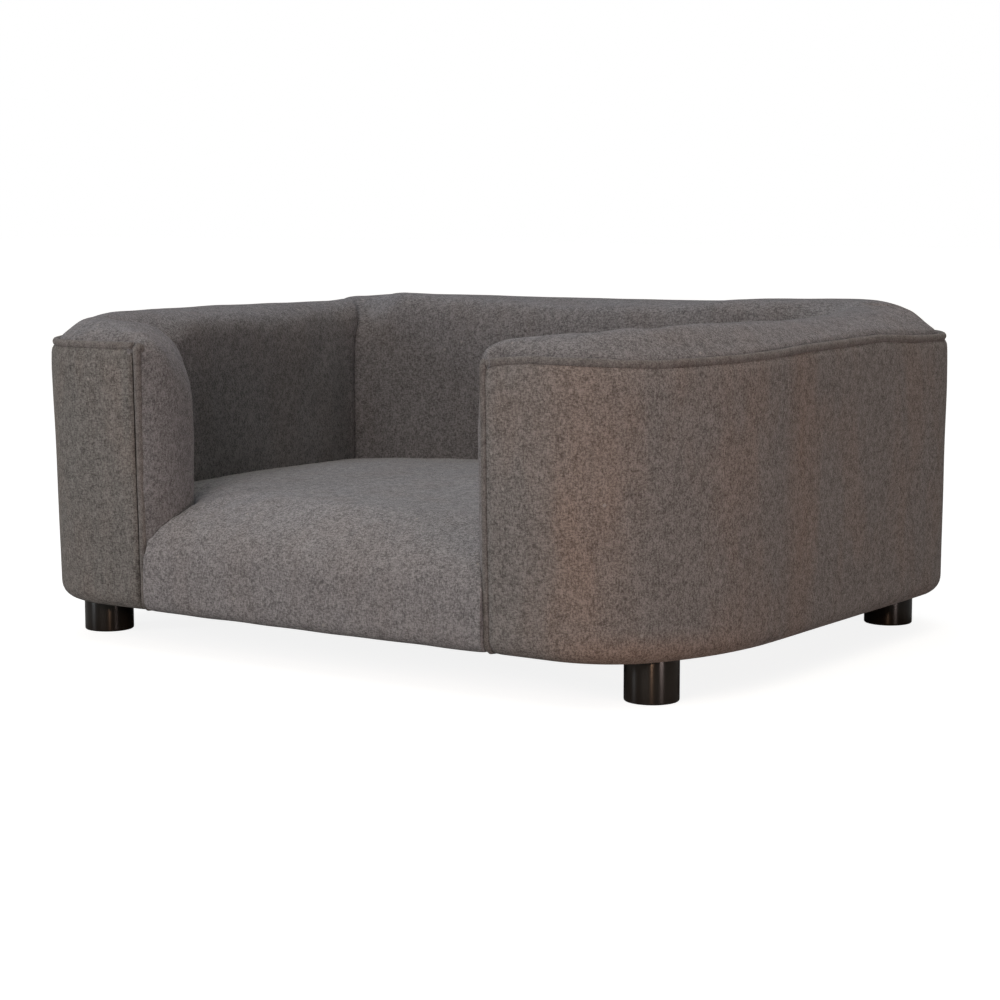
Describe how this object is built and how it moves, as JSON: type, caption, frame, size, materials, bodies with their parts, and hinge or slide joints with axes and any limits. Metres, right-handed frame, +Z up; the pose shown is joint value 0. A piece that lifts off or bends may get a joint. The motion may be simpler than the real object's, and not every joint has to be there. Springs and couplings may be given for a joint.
{
  "type": "dog bed with frame",
  "caption": "Small upholstered dog sofa: a padded wall with piping curves round a tight domed seat, open at the front, on short round black legs.",
  "frame": {"origin": "on the floor under the middle of the bed", "axes": "+X to the right across the front, +Y from the open front to the back, +Z up"},
  "size_m": [0.7, 0.56, 0.295],
  "materials": {
    "plywood": "sanded birch plywood",
    "pine": "planed pine",
    "hardboard": "smooth brown hardboard",
    "webbing": "black elastic webbing",
    "foam": "open-cell cushion foam",
    "wadding": "white polyester wadding",
    "tweed": "charcoal heather wool",
    "piping_tweed": "charcoal heather wool",
    "dust_cloth": "black nonwoven cloth",
    "leg_lacquer": "satin black-brown lacquer",
    "zinc_steel": "zinc plated"
  },
  "bodies": {
    "root": {"base_ring": "plywood", "top_former": "plywood", "front_rail": "pine", "back_rail": "pine", "left_rail": "pine", "right_rail": "pine", "left_nose_post": "pine", "right_nose_post": "pine", "left_front_post": "pine", "right_front_post": "pine", "left_rear_post": "pine", "right_rear_post": "pine", "left_back_post": "pine", "right_back_post": "pine", "outer_board": "hardboard", "left_inner_board": "hardboard", "right_inner_board": "hardboard", "left_nose_board": "hardboard", "right_nose_board": "hardboard", "back_inner_board": "hardboard", "cross_webbing": "webbing", "long_webbing": "webbing", "left_arm_foam": "foam", "right_arm_foam": "foam", "back_foam": "foam", "seat_foam": "foam", "outer_wadding": "wadding", "left_arm_cover": "tweed", "right_arm_cover": "tweed", "back_cover": "tweed", "seat_cover": "tweed", "outer_left_cover": "tweed", "outer_right_cover": "tweed", "outer_back_cover": "tweed", "top_piping": "piping_tweed", "left_nose_piping": "piping_tweed", "right_nose_piping": "piping_tweed", "dust_cover": "dust_cloth", "leg_front_left": "leg_lacquer", "leg_front_right": "leg_lacquer", "leg_rear_left": "leg_lacquer", "leg_rear_right": "leg_lacquer", "leg_bolts": "zinc_steel", "tee_nuts": "zinc_steel", "base_screws": "zinc_steel", "former_screws": "zinc_steel", "dust_cover_staples": "zinc_steel"}
  },
  "joints": []
}
